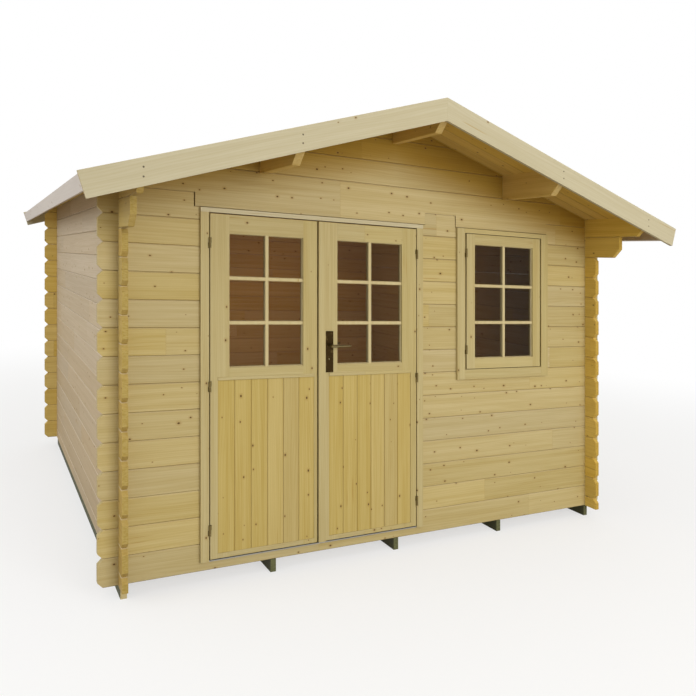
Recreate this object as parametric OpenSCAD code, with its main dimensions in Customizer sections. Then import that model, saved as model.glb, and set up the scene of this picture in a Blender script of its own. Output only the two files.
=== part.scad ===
// Garden shed of interlocking logs: double glazed door, casement window, gable roof with a front canopy.
// Millimetres. X runs along the front wall, +Y points to the back, +Z is up.
// The origin lies on the ground, under the middle of the roof's outline.

/* [Log walls] */
// Width of the building over the outer faces of the side walls
base_w = 3024; // [2700:2:3400]
// Depth of the building over the outer faces of the front and rear walls
base_d = 2880; // [2400:10:3600]
// Thickness of a wall log
wall_t = 28; // [22:1:34]
// Height of one row of logs
row_h = 132.5; // [118:0.5:140]
// How far log ends pass the crossing wall
log_over = 92; // [80:1:140]
// Chamfer on the corners of a log end
end_chamfer = 25; // [4:1:28]
// Depth of the V groove between rows, on one log
groove = 4; // [1:0.5:6]

/* [Base] */
// Number of bearers under the walls and the floor
bearer_count = 5; // [3:1:7]
// Width of a bearer
bearer_w = 30; // [28:1:60]
// Height of a bearer
bearer_h = 66; // [40:1:90]
// Distance of the outer bearers' middle from the wall's outer face
bearer_inset = 24; // [14:1:35]
// Thickness of the floor
floor_t = 18; // [14:1:28]
// Gap between the floor's edge and the walls
floor_gap = 5; // [2:1:10]

/* [Roof] */
// Pitch of the roof in degrees
pitch = 17.45; // [12:0.01:24]
// Height of the top side log at the wall's outer face
eave_log_h = 109; // [80:1:130]
// Thickness of the roof deck
deck_t = 19; // [14:1:25]
// Roof overhang past the side walls
side_over = 236; // [160:1:300]
// Canopy overhang past the front wall
front_over = 488; // [360:1:600]
// Roof overhang past the rear wall
rear_over = 260; // [150:1:280]
// Height of a bargeboard, square to the slope
barge_h = 112; // [90:1:140]
// Thickness of a bargeboard
barge_t = 20; // [14:1:28]
// How far the bargeboards stand above the deck
barge_rise = 7; // [0:1:15]
// Height of an eave fascia, square to the slope
fascia_h = 67; // [60:1:120]
// How far an eave fascia stays under the deck's top
fascia_drop = 5; // [0:1:10]
// Thickness of an eave fascia
fascia_t = 18; // [12:1:25]
// Thickness of a purlin
purlin_t = 40; // [30:1:60]
// Height of a purlin under the deck
purlin_h = 142; // [110:1:160]
// Distance of the side purlins from the ridge
purlin_x = 797; // [650:1:900]
// Chamfer under the ends of purlins and eave logs
purlin_chamfer = 60; // [20:1:80]
// Reach of the corbel log in front of the wall
corbel_reach = 280; // [200:1:340]
// Chamfer under the end of the corbel log
corbel_chamfer = 54; // [30:1:90]

/* [Door] */
// Left edge of the pair of leaves
door_x = -1081; // [-1180:1:-1000]
// Width of the pair of leaves
door_w = 1207; // [1150:1:1300]
// Height of the leaves
door_h = 1699; // [1600:1:1720]
// Width of the left leaf
left_leaf_w = 579; // [560:1:610]
// Thickness of a leaf
leaf_t = 38; // [32:1:42]
// Gap round a leaf
run_gap = 6; // [5.5:0.1:9]
// Gap between the two leaves
meet_gap = 7; // [6.5:0.1:9]
// Height of the bottom log under the doorway
sill_h = 46; // [30:1:70]
// Thickness of the threshold strip
threshold_t = 5; // [3:0.5:8]
// How far the threshold reaches past the wall's outer face
threshold_nose = 12; // [4:1:16]
// Thickness of the frame's web beside the leaves
jamb_t = 22; // [16:1:30]
// Thickness of the casing on the wall's faces
casing_t = 16; // [12:1:22]
// How far the casing covers the log ends
casing_lap = 20; // [10:1:28]
// Height of the frame's head over the leaves
head_h = 22; // [10:1:24]
// How far the frame's stop reaches behind a leaf
stop_w = 12; // [8:1:16]
// How far the lintel's tongue passes the door casing
door_tongue_lap = 23; // [10:1:40]
// Gap at the left ends of the lintel's tongues
tongue_gap = 6; // [1:0.5:8]
// Gap between a frame's head and the tongue over it
head_gap = 4; // [0.5:0.5:6]
// Width of a hinge stile
hinge_stile_w = 97; // [80:1:110]
// Width of the left leaf's meeting stile
left_meet_w = 80; // [60:1:90]
// Width of the right leaf's meeting stile
right_meet_w = 114; // [110:1:130]
// Height of the top rail
top_rail_h = 92; // [70:1:110]
// Height of the middle rail
mid_rail_h = 95; // [80:1:110]
// Height of the bottom rail
bottom_rail_h = 90; // [60:1:120]
// Height of the glazing's lower edge above the leaf's foot
glazing_foot = 938; // [850:1:1000]
// Height of the boarded panel's top edge above the leaf's foot
panel_top = 877; // [860:1:900]
// Height of the boarded panel's lower edge above the leaf's foot
panel_foot = 24; // [15:1:50]
// Width of the hinge stile left bare beside the panel
panel_edge = 38; // [30:1:60]
// Width of the left meeting stile left bare beside the panel
left_panel_edge = 17; // [12:1:45]
// Width of the right meeting stile left bare beside the panel
right_panel_edge = 64; // [55:1:85]
// Thickness of the boarded panel
panel_t = 14; // [10:1:18]
// How far the panel lies behind the leaf's face
panel_recess = 3; // [1:0.5:6]
// Number of boards in a panel
panel_boards = 6; // [4:1:8]
// Depth of the V groove between panel boards
panel_groove = 3; // [1:0.5:5]
// Width of the cover strip where the leaves meet
astragal_w = 39; // [36:1:50]
// Thickness of the cover strip
astragal_t = 10; // [6:1:16]

/* [Window] */
// Left edge of the window casing
window_x = 420; // [380:1:470]
// Width over the window casing
window_w = 717; // [660:1:780]
// Height of the casing's foot above the wall's foot
window_z = 882; // [800:1:920]
// Height over the window casing
window_h = 902; // [840:1:930]
// Width of the window casing's sides
window_side = 57; // [45:1:65]
// Height of the window casing's head
window_head = 27; // [25:1:45]
// Height of the window casing's foot
window_foot = 58; // [50:1:85]
// How far the lintel's tongue passes the window casing
window_tongue_lap = 2; // [0:1:10]
// Thickness of the sash
sash_t = 36; // [30:1:40]
// Width of the sash's stiles and rails
sash_w = 61; // [45:1:75]
// Gap above and below the sash
sash_gap = 4; // [2:0.5:6]
// Gap at the sides of the sash
sash_side_gap = 11; // [4:0.5:12]

/* [Glass] */
// Thickness of the panes
glass_t = 4; // [3:1:6]
// Distance of a pane behind the wall's face
glass_y = 2; // [0:1:6]
// Depth of the groove that holds a pane
glass_groove = 8; // [5:1:10]

/* [Ironmongery] */
// Radius of a hinge barrel
barrel_r = 6; // [5:0.5:8]
// Radius of a hinge pin
pin_r = 3.5; // [2.5:0.1:4]
// Height of one half of a hinge
barrel_h = 26; // [20:1:36]
// Reach of a hinge's lug onto the wood
lug_w = 9; // [7:1:20]
// Thickness of a hinge's lug
lug_t = 2; // [1:0.5:2]
// Distance of the outer door hinges from the leaf's ends
hinge_inset = 118; // [80:1:260]
// Distance of the window hinges from the sash's ends
window_hinge_inset = 90; // [60:1:220]
// Width of a handle plate
plate_w = 47; // [36:1:48]
// Height of a handle plate
plate_h = 220; // [180:1:250]
// Thickness of a handle plate
plate_t = 4; // [2:0.5:6]
// Corner radius of a handle plate
plate_r = 3; // [1:0.5:8]
// Height of the handle plate's foot above the leaf's foot
plate_z = 898; // [897:1:940]
// Gap between the cover strip and the handle plate
plate_gap = 1.5; // [1:0.5:6]
// Height of the lever above the plate's foot
lever_up = 144; // [100:1:170]
// Length of a lever from its neck
lever_l = 106; // [90:1:130]
// Radius of a lever's grip at its neck
lever_r = 7.5; // [6:0.5:9]
// Radius of a lever's grip at its tip
tip_r = 5.5; // [4:0.5:7]
// Radius of a lever's neck
neck_r = 8; // [7:0.5:10]
// Distance of a lever's grip from the leaf's face
neck_l = 44; // [35:1:60]
// Radius of the keyhole in the plates
keyhole_r = 4; // [3:0.5:6]
// Height of the keyhole above the plate's foot
keyhole_up = 72; // [40:1:80]

/* [Fits] */
// Gap between pieces that lie against each other
fit = 0.3; // [0.2:0.05:0.4]
// Radial play of hinge pins and lever necks
play = 0.05; // [0.02:0.01:0.09]

/* [Hidden] */
$fn = 48;
over = 2;
half_w = base_w / 2;
y_shift = (front_over - base_d - rear_over) / 2;

// Ends and crossings of the front wall's logs
front_start = -half_w - log_over;
front_end = half_w + log_over;
left_crossing = -half_w;
right_crossing = half_w - wall_t;

// Roof lines
slope = tan(pitch);
tongue_least = 30;
door_height = sill_h + threshold_t + 2 * run_gap + door_h + head_h;
lintel_row = ceil((max(window_z + window_h, door_height) + head_gap + tongue_least) / row_h);
side_top = (lintel_row - 0.5) * row_h;
apex = side_top + eave_log_h + half_w * slope;
barge_top = deck_t + barge_rise;
eave_run = (half_w + side_over - barge_top * sin(pitch)) / cos(pitch);
roof_front = -front_over + barge_t + fit;
roof_back = base_d + rear_over - barge_t - fit;
gable_rows = floor((apex - fit) / row_h);

// Doorway
leaf_z = sill_h + threshold_t + run_gap;
leaf_top = leaf_z + door_h;
door_end = door_x + door_w;
head_z = leaf_top + run_gap;
web_x0 = door_x - run_gap;
web_x1 = door_end + run_gap;
door_cut0 = web_x0 - jamb_t;
door_cut1 = web_x1 + jamb_t;
door_tongue_z = door_height + head_gap;
face_y = -casing_t;
leaf_back = face_y + leaf_t;
door_stop_y = leaf_back + run_gap;
left_leaf_end = door_x + left_leaf_w;
right_leaf_x = left_leaf_end + meet_gap;
glazing_z = leaf_z + glazing_foot;
glazing_top = leaf_top - top_rail_h;
panel_z0 = leaf_z + panel_foot;
panel_z1 = leaf_z + panel_top;

// Window opening
window_end = window_x + window_w;
window_top = window_z + window_h;
window_cut0 = window_x + casing_lap;
window_cut1 = window_end - casing_lap;
window_cut_z = window_z + casing_lap;
sash_x0 = window_x + window_side + sash_side_gap;
sash_x1 = window_end - window_side - sash_side_gap;
sash_z0 = window_z + window_foot + sash_gap;
sash_z1 = window_top - window_head - sash_gap;
sash_stop_y = face_y + sash_t + fit;
sash_stop_w = sash_side_gap + stop_w - sash_gap;
window_tongue_z = window_top + head_gap;
window_row = floor(window_cut_z / row_h);

// Hinge axes and handle
axis_y = face_y - barrel_r;
left_axis_x = door_x - run_gap / 2;
right_axis_x = door_end + run_gap / 2;
window_axis_x = sash_x0 - sash_side_gap / 2;
door_hinge_z = [
  leaf_z + hinge_inset,
  leaf_z + door_h / 2 - barrel_h,
  leaf_top - hinge_inset - 2 * barrel_h
];
window_hinge_z = [sash_z0 + window_hinge_inset, sash_z1 - window_hinge_inset - 2 * barrel_h];
plate_x = right_leaf_x + astragal_w + plate_gap;
lever_x = plate_x + plate_w / 2;
plate_foot = leaf_z + plate_z;
lever_z = plate_foot + lever_up;

wood = "#d9c48a";
pale_wood = "#dccfa8";
roof_wood = "#c9a968";
bearer_wood = "#5c5634";

// Moves a piece from the front wall's foot to the part's own origin
module place() {
  translate([0, y_shift, bearer_h]) children();
}

// A box between two corners
module block(low, high) {
  translate(low) cube(high - low);
}

// An outline drawn in X and Z, made solid from y0 to y1
module along_y(y0, y1) {
  translate([0, y1, 0]) rotate([90, 0, 0]) linear_extrude(y1 - y0) children();
}

// An outline drawn in Y and Z, made solid from x0 to x1
module along_x(x0, x1) {
  translate([x0, 0, 0]) rotate([90, 0, 90]) linear_extrude(x1 - x0) children();
}

// Logs

// Side view of a log: low and top give the chamfers at its two ends
function log_outline(a0, a1, z0, z1, low, top) = concat(
  low[0] > 0 ? [[a0, z0 + low[0]], [a0 + low[0], z0]] : [[a0, z0]],
  low[1] > 0 ? [[a1 - low[1], z0], [a1, z0 + low[1]]] : [[a1, z0]],
  top[1] > 0 ? [[a1, z1 - top[1]], [a1 - top[1], z1]] : [[a1, z1]],
  top[0] > 0 ? [[a0 + top[0], z1], [a0, z1 - top[0]]] : [[a0, z1]]
);

// Cross-section of a log, with a chamfer along each edge
function log_section(z0, z1) = [
  [0, z0 + groove], [groove, z0], [wall_t - groove, z0], [wall_t, z0 + groove],
  [wall_t, z1 - groove], [wall_t - groove, z1], [groove, z1], [0, z1 - groove]
];

// A log along X, one row high from z, necked to half its height where it crosses another wall
module wall_log(a0, a1, z, low, top, crossings) {
  z0 = z + fit / 2;
  z1 = z + row_h - fit / 2;
  difference() {
    intersection() {
      along_y(0, wall_t) polygon(log_outline(a0, a1, z0, z1, low, top));
      along_x(a0 - over, a1 + over) polygon(log_section(z0, z1));
    }
    for (c = crossings) {
      block([c - fit, -over, z - over], [c + wall_t + fit, wall_t + over, z + row_h / 4 + fit / 2]);
      block(
        [c - fit, -over, z + row_h * 3 / 4 - fit / 2],
        [c + wall_t + fit, wall_t + over, z + row_h + over]
      );
    }
  }
}

// A log of the front wall between two of its own ends
module front_log(row, a0, a1) {
  at_left = a0 == front_start;
  at_right = a1 == front_end;
  c0 = at_left ? end_chamfer : 0;
  c1 = at_right ? end_chamfer : 0;
  crossings = concat(at_left ? [left_crossing] : [], at_right ? [right_crossing] : []);
  wall_log(a0, a1, row * row_h, [c0, c1], [c0, c1], crossings);
}

// A log of a side wall, laid along Y at the left wall and half a row lower than the front wall's
module side_log(row, a0, a1, low, top) {
  translate([-half_w + wall_t, 0, 0])
    rotate([0, 0, 90])
      wall_log(a0, a1, (row - 0.5) * row_h, low, top, [0, base_d - wall_t]);
}

// All that lies under the roof deck
module under_roof() {
  reach = half_w + side_over;
  along_y(-front_over, base_d + rear_over)
    polygon([
      [-reach, apex - fit - reach * slope],
      [0, apex - fit],
      [reach, apex - fit - reach * slope],
      [reach, -row_h],
      [-reach, -row_h]
    ]);
}

// The doorway and the window opening in the front wall's logs, with the lintel's tongues
module front_openings() {
  block([door_cut0 - fit, -over, sill_h - fit], [door_cut1 + fit, wall_t + over, door_tongue_z]);
  block(
    [window_cut0 - fit, -over, window_cut_z - fit],
    [window_cut1 + fit, wall_t + over, window_tongue_z]
  );
  lintel_tongues(tongue_gap, fit, tongue_gap / 2);
}

// The lintel's two tongues, over the door and over the window, with room at their ends and under them
module lintel_tongues(left_room, right_room, foot_room) {
  top = lintel_row * row_h + over;
  block(
    [door_cut0 - casing_lap - door_tongue_lap - left_room, -over, door_tongue_z - foot_room],
    [door_cut1 + casing_lap + door_tongue_lap + right_room, wall_t + over, top]
  );
  block(
    [window_x - window_tongue_lap - left_room, -over, window_tongue_z - foot_room],
    [window_end + window_tongue_lap + right_room, wall_t + over, top]
  );
}

// Base

module bearers() {
  color(bearer_wood)
    place()
      for (i = [0:bearer_count - 1]) {
        x = (i / (bearer_count - 1) * 2 - 1) * (half_w - bearer_inset);
        block([x - bearer_w / 2, 0, -bearer_h], [x + bearer_w / 2, base_d, 0]);
      }
}

module floor() {
  x = half_w - wall_t - floor_gap;
  color(wood)
    place() block([-x, wall_t + floor_gap, 0], [x, base_d - wall_t - floor_gap, floor_t]);
}

// Front wall

module sill_log() {
  color(wood)
    place()
      difference() {
        front_log(0, front_start, front_end);
        front_openings();
      }
}

module front_wall_left() {
  color(wood)
    place()
      difference() {
        for (row = [1:lintel_row - 1]) front_log(row, front_start, door_cut0 - fit);
        lintel_tongues(tongue_gap, fit, tongue_gap / 2);
      }
}

module front_wall_lower_right() {
  color(wood)
    place()
      difference() {
        for (row = [1:window_row]) front_log(row, door_cut1 + fit, front_end);
        front_openings();
      }
}

module front_wall_middle() {
  color(wood)
    place()
      difference() {
        for (row = [window_row + 1:lintel_row - 1]) front_log(row, door_cut1 + fit, window_cut0 - fit);
        lintel_tongues(tongue_gap, fit, tongue_gap / 2);
      }
}

module front_wall_right() {
  color(wood)
    place()
      difference() {
        for (row = [window_row + 1:lintel_row - 1]) front_log(row, window_cut1 + fit, front_end);
        lintel_tongues(tongue_gap, fit, tongue_gap / 2);
      }
}

module lintel_log() {
  z = lintel_row * row_h;
  color(wood)
    place()
      difference() {
        intersection() {
          under_roof();
          union() {
            front_log(lintel_row, front_start, front_end);
            intersection() {
              lintel_tongues(0, 0, 0);
              block([-half_w, 0, 0], [half_w, wall_t, z + row_h / 2]);
            }
            block(
              [-half_w + wall_t + over, 0, z + fit / 2],
              [half_w - wall_t - over, wall_t, z + row_h / 2]
            );
          }
        }
        purlin_cuts();
      }
}

// The rows of a gable above the lintel
module gable_logs() {
  difference() {
    intersection() {
      under_roof();
      for (row = [lintel_row + 1:gable_rows])
        wall_log(front_start, front_end, row * row_h, [0, 0], [0, 0], []);
    }
    purlin_cuts();
  }
}

module front_gable() {
  color(wood) place() gable_logs();
}

// Rear and side walls

module rear_wall() {
  color(wood)
    place()
      difference() {
        intersection() {
          under_roof();
          translate([0, base_d - wall_t, 0])
            for (row = [0:lintel_row]) front_log(row, front_start, front_end);
        }
        purlin_cuts();
      }
}

module rear_gable() {
  color(wood) place() translate([0, base_d - wall_t, 0]) gable_logs();
}

// The left wall: a half log, full logs, the corbel log and the eave log that carries the canopy
module side_wall() {
  ends = [end_chamfer, end_chamfer];
  corbel = lintel_row - 1;
  reach = half_w + side_over;
  intersection() {
    block([-reach, -front_over, fit / 2], [reach, base_d + rear_over, apex]);
    side_log(0, -log_over, base_d + log_over, ends, ends);
  }
  for (row = [1:corbel - 1]) side_log(row, -log_over, base_d + log_over, ends, ends);
  side_log(corbel, -corbel_reach, base_d + log_over, [corbel_chamfer, end_chamfer], [0, end_chamfer]);
  intersection() {
    under_roof();
    side_log(lintel_row, roof_front, roof_back, [purlin_chamfer, purlin_chamfer], [0, 0]);
  }
}

module left_wall() {
  color(wood) place() side_wall();
}

module right_wall() {
  color(wood) place() mirror([1, 0, 0]) side_wall();
}

// Roof

// A purlin at x, its top bevelled under the deck
module purlin(x) {
  z0 = apex - abs(x) * slope - purlin_h;
  intersection() {
    under_roof();
    along_x(x - purlin_t / 2, x + purlin_t / 2)
      polygon(
        log_outline(roof_front, roof_back, z0, apex + over, [purlin_chamfer, purlin_chamfer], [0, 0])
      );
  }
}

// The way of the purlins through the gable walls
module purlin_cuts() {
  for (x = [-purlin_x, 0, purlin_x]) {
    z0 = apex - abs(x) * slope - purlin_h - fit;
    block(
      [x - purlin_t / 2 - fit, -over, z0],
      [x + purlin_t / 2 + fit, base_d + over, apex + over]
    );
  }
}

module ridge_purlin() {
  color(roof_wood) place() purlin(0);
}

module left_purlin() {
  color(roof_wood) place() purlin(-purlin_x);
}

module right_purlin() {
  color(roof_wood) place() purlin(purlin_x);
}

// A point of the right slope: s down the slope from the ridge, n square to the deck's underside
function on_slope(s, n) = [s * cos(pitch) + n * sin(pitch), apex - s * sin(pitch) + n * cos(pitch)];

// Where a line at height n over the deck's underside meets the joint under the ridge
function ridge_s(n) = (fit / 2 - n * sin(pitch)) / cos(pitch);

// A board of the right slope between heights n0 and n1, from the ridge joint to s
module slope_board(s, n0, n1) {
  polygon([on_slope(ridge_s(n0), n0), on_slope(s, n0), on_slope(s, n1), on_slope(ridge_s(n1), n1)]);
}

module deck() {
  along_y(roof_front, roof_back) slope_board(eave_run - fascia_t - fit, 0, deck_t);
}

module bargeboard(y) {
  along_y(y, y + barge_t) slope_board(eave_run, barge_top - barge_h, barge_top);
}

module fascia() {
  s0 = eave_run - fascia_t;
  n1 = deck_t - fascia_drop;
  n0 = n1 - fascia_h;
  along_y(roof_front, roof_back)
    polygon([on_slope(s0, n0), on_slope(eave_run, n0), on_slope(eave_run, n1), on_slope(s0, n1)]);
}

module left_roof_deck() {
  color(roof_wood) place() mirror([1, 0, 0]) deck();
}

module right_roof_deck() {
  color(roof_wood) place() deck();
}

module front_left_bargeboard() {
  color(pale_wood) place() mirror([1, 0, 0]) bargeboard(-front_over);
}

module front_right_bargeboard() {
  color(pale_wood) place() bargeboard(-front_over);
}

module rear_left_bargeboard() {
  color(pale_wood) place() mirror([1, 0, 0]) bargeboard(base_d + rear_over - barge_t);
}

module rear_right_bargeboard() {
  color(pale_wood) place() bargeboard(base_d + rear_over - barge_t);
}

module left_fascia() {
  color(pale_wood) place() mirror([1, 0, 0]) fascia();
}

module right_fascia() {
  color(pale_wood) place() fascia();
}

// Door frame

// Plan of a frame's upright on the left of an opening: casings clasp the log ends, a stop lies behind
module upright_plan(inner_x, web, stop_y, stop_reach) {
  back = wall_t + casing_t;
  outer_x = inner_x - web - casing_lap;
  web_x = inner_x - web;
  polygon([
    [outer_x, face_y],
    [inner_x, face_y],
    [inner_x, stop_y],
    [inner_x + stop_reach, stop_y],
    [inner_x + stop_reach, back],
    [outer_x, back],
    [outer_x, wall_t + fit],
    [web_x, wall_t + fit],
    [web_x, -fit],
    [outer_x, -fit]
  ]);
}

module door_upright() {
  translate([0, 0, sill_h])
    linear_extrude(head_z - sill_h - fit)
      upright_plan(web_x0, jamb_t, door_stop_y, stop_w);
}

module left_door_jamb() {
  color(pale_wood) place() door_upright();
}

module right_door_jamb() {
  color(pale_wood)
    place() translate([door_x + door_end, 0, 0]) mirror([1, 0, 0]) door_upright();
}

module door_head() {
  color(pale_wood)
    place() {
      block(
        [door_cut0 - casing_lap, face_y, head_z],
        [door_cut1 + casing_lap, -fit, door_height]
      );
      block([door_cut0, -fit, head_z], [door_cut1, wall_t + casing_t, door_height]);
    }
}

module threshold() {
  color("#b9b6a6")
    place()
      block(
        [web_x0 + fit, -threshold_nose, sill_h],
        [web_x1 - fit, door_stop_y - fit, sill_h + threshold_t]
      );
}

// Hinges

// Lower half of a hinge, with its pin, on the casing; side is the way its lug points
module hinge_lower(x, z, side) {
  translate([x, axis_y, z]) {
    cylinder(r = barrel_r, h = barrel_h);
    cylinder(r = pin_r, h = 2 * barrel_h);
    block(
      [min(0, side * lug_w), barrel_r - lug_t, 0],
      [max(0, side * lug_w), barrel_r, barrel_h]
    );
  }
}

// Upper half of a hinge, with its bore, on the leaf
module hinge_upper(x, z, side) {
  translate([x, axis_y, z + barrel_h + fit])
    difference() {
      union() {
        cylinder(r = barrel_r, h = barrel_h);
        block(
          [min(0, side * lug_w), barrel_r - lug_t, 0],
          [max(0, side * lug_w), barrel_r, barrel_h]
        );
      }
      translate([0, 0, -over]) cylinder(r = pin_r + play, h = barrel_h + 2 * over);
    }
}

module door_hinge_pins() {
  color("#b08d3c")
    place()
      for (z = door_hinge_z) {
        hinge_lower(left_axis_x, z, -1);
        hinge_lower(right_axis_x, z, 1);
      }
}

module left_leaf_hinges() {
  color("#b08d3c") place() for (z = door_hinge_z) hinge_upper(left_axis_x, z, 1);
}

module right_leaf_hinges() {
  color("#b08d3c") place() for (z = door_hinge_z) hinge_upper(right_axis_x, z, -1);
}

// Door leaves

// Stiles and rails of a leaf, grooved for the pane and rebated for the boarded panel
module leaf_frame(x0, x1, left_w, right_w, left_edge, right_edge) {
  rail_x0 = x0 + left_w + fit;
  rail_x1 = x1 - right_w - fit;
  difference() {
    union() {
      block([x0, face_y, leaf_z], [x0 + left_w, leaf_back, leaf_top]);
      block([x1 - right_w, face_y, leaf_z], [x1, leaf_back, leaf_top]);
      block([rail_x0, face_y, glazing_top], [rail_x1, leaf_back, leaf_top]);
      block([rail_x0, face_y, glazing_z - mid_rail_h], [rail_x1, leaf_back, glazing_z]);
      block([rail_x0, face_y, leaf_z], [rail_x1, leaf_back, leaf_z + bottom_rail_h]);
    }
    pane(x0 + left_w, x1 - right_w, glazing_z, glazing_top, fit);
    block(
      [x0 + left_edge - fit, face_y - over, panel_z0 - fit],
      [x1 - right_edge + fit, face_y + panel_recess + panel_t + fit, panel_z1 + fit]
    );
  }
}

// A pane that reaches into the grooves round an opening, with room all round
module pane(x0, x1, z0, z1, room) {
  r = glass_groove - fit + room;
  block([x0 - r, glass_y - room, z0 - r], [x1 + r, glass_y + glass_t + room, z1 + r]);
}

// A panel of upright boards with V grooves between them
module boarded_panel(x0, x1) {
  y0 = face_y + panel_recess;
  y1 = y0 + panel_t;
  v = panel_groove;
  joints = [for (i = [1:panel_boards - 1]) x0 + (x1 - x0) * i / panel_boards];
  translate([0, 0, panel_z0])
    linear_extrude(panel_z1 - panel_z0)
      polygon(concat(
        [[x0, y0]],
        [for (x = joints) each [[x - v, y0], [x, y0 + v], [x + v, y0]]],
        [[x1, y0], [x1, y1], [x0, y1]]
      ));
}

module left_leaf_frame() {
  color(wood)
    place() leaf_frame(door_x, left_leaf_end, hinge_stile_w, left_meet_w, panel_edge, left_panel_edge);
}

module left_leaf_panel() {
  color(wood) place() boarded_panel(door_x + panel_edge, left_leaf_end - left_panel_edge);
}

module left_leaf_glass() {
  color("#5a4632", 0.6)
    place() pane(door_x + hinge_stile_w, left_leaf_end - left_meet_w, glazing_z, glazing_top, 0);
}

module right_leaf_frame() {
  color(wood)
    place()
      difference() {
        leaf_frame(right_leaf_x, door_end, right_meet_w, hinge_stile_w, right_panel_edge, panel_edge);
        translate([lever_x, face_y - over, lever_z])
          rotate([-90, 0, 0]) cylinder(r = neck_r + fit, h = leaf_t + 2 * over);
      }
}

module right_leaf_panel() {
  color(wood) place() boarded_panel(right_leaf_x + right_panel_edge, door_end - panel_edge);
}

module right_leaf_glass() {
  color("#5a4632", 0.6)
    place() pane(right_leaf_x + right_meet_w, door_end - hinge_stile_w, glazing_z, glazing_top, 0);
}

module astragal() {
  color(wood)
    place()
      block([right_leaf_x, face_y - astragal_t, leaf_z], [right_leaf_x + astragal_w, face_y, leaf_top]);
}

// Handle

// Outline of a plate with round corners, with the lever's bore and the keyhole
module plate_outline() {
  difference() {
    union() {
      translate([plate_r, 0]) square([plate_w - 2 * plate_r, plate_h]);
      translate([0, plate_r]) square([plate_w, plate_h - 2 * plate_r]);
      for (x = [plate_r, plate_w - plate_r], z = [plate_r, plate_h - plate_r])
        translate([x, z]) circle(r = plate_r);
    }
    translate([plate_w / 2, lever_up]) circle(r = neck_r + play);
    translate([plate_w / 2, keyhole_up]) circle(r = keyhole_r);
  }
}

module handle_plates() {
  color("#4a3a22")
    place()
      for (y = [face_y - plate_t, leaf_back])
        translate([plate_x, y + plate_t, plate_foot])
          rotate([90, 0, 0]) linear_extrude(plate_t) plate_outline();
}

// A lever on each face of the leaf, joined by one spindle
module handle_lever() {
  y0 = face_y - neck_l;
  y1 = leaf_back + neck_l;
  color("#4a3a22")
    place()
      translate([lever_x, 0, lever_z]) {
        translate([0, y0, 0]) rotate([-90, 0, 0]) cylinder(r = neck_r, h = y1 - y0);
        for (y = [y0, y1]) {
          translate([0, y, 0]) sphere(r = neck_r);
          translate([0, y, 0]) rotate([0, 90, 0]) cylinder(r1 = lever_r, r2 = tip_r, h = lever_l);
          translate([lever_l, y, 0]) sphere(r = tip_r);
        }
      }
}

// Window

module window_upright() {
  difference() {
    translate([0, 0, window_z])
      linear_extrude(window_h)
        upright_plan(window_x + window_side, window_side - casing_lap, sash_stop_y, sash_stop_w);
    block(
      [window_x - over, -fit, window_z - over],
      [window_x + window_side + sash_stop_w + over, wall_t + fit, window_cut_z]
    );
  }
}

module window_frame() {
  x0 = window_x + window_side + fit;
  x1 = window_end - window_side - fit;
  back = wall_t + casing_t;
  head_z0 = window_top - window_head;
  foot_z1 = window_z + window_foot;
  color(pale_wood)
    place() {
      window_upright();
      translate([window_x + window_end, 0, 0]) mirror([1, 0, 0]) window_upright();
      difference() {
        union() {
          along_x(x0, x1) polygon([
            [face_y, head_z0], [back, head_z0], [back, window_top], [face_y, window_top]
          ]);
          along_x(x0, x1) polygon([
            [face_y, window_z], [-fit, window_z], [-fit, window_cut_z], [wall_t + fit, window_cut_z],
            [wall_t + fit, window_z], [back, window_z], [back, foot_z1], [face_y, foot_z1]
          ]);
        }
        for (x = [x0, x1])
          block(
            [x - sash_stop_w, sash_stop_y - fit, window_z - over],
            [x + sash_stop_w, back + over, window_top + over]
          );
      }
    }
}

module window_sash() {
  back = face_y + sash_t;
  gx0 = sash_x0 + sash_w;
  gx1 = sash_x1 - sash_w;
  gz0 = sash_z0 + sash_w;
  gz1 = sash_z1 - sash_w;
  color(pale_wood)
    place()
      difference() {
        union() {
          block([sash_x0, face_y, sash_z0], [gx0, back, sash_z1]);
          block([gx1, face_y, sash_z0], [sash_x1, back, sash_z1]);
          block([gx0 + fit, face_y, sash_z0], [gx1 - fit, back, gz0]);
          block([gx0 + fit, face_y, gz1], [gx1 - fit, back, sash_z1]);
        }
        pane(gx0, gx1, gz0, gz1, fit);
      }
}

module window_glass() {
  color("#5a4632", 0.6)
    place() pane(sash_x0 + sash_w, sash_x1 - sash_w, sash_z0 + sash_w, sash_z1 - sash_w, 0);
}

module window_hinges() {
  color("#b08d3c")
    place()
      for (z = window_hinge_z) {
        hinge_lower(window_axis_x, z, -1);
        hinge_upper(window_axis_x, z, 1);
      }
}

bearers();
floor();
sill_log();
front_wall_left();
front_wall_lower_right();
front_wall_middle();
front_wall_right();
lintel_log();
front_gable();
rear_wall();
rear_gable();
left_wall();
right_wall();
ridge_purlin();
left_purlin();
right_purlin();
left_roof_deck();
right_roof_deck();
front_left_bargeboard();
front_right_bargeboard();
rear_left_bargeboard();
rear_right_bargeboard();
left_fascia();
right_fascia();
left_door_jamb();
right_door_jamb();
door_head();
threshold();
door_hinge_pins();
left_leaf_frame();
left_leaf_panel();
left_leaf_glass();
left_leaf_hinges();
right_leaf_frame();
right_leaf_panel();
right_leaf_glass();
right_leaf_hinges();
astragal();
handle_plates();
handle_lever();
window_frame();
window_sash();
window_glass();
window_hinges();
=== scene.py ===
"""Looks of a log garden shed: woods, glass, glazing bars, boards, screws, light and camera.

Everything is in metres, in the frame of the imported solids: +Y points to the back, +Z is up.
"""

import math

import bmesh
import bpy
from mathutils import Matrix, Vector


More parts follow.
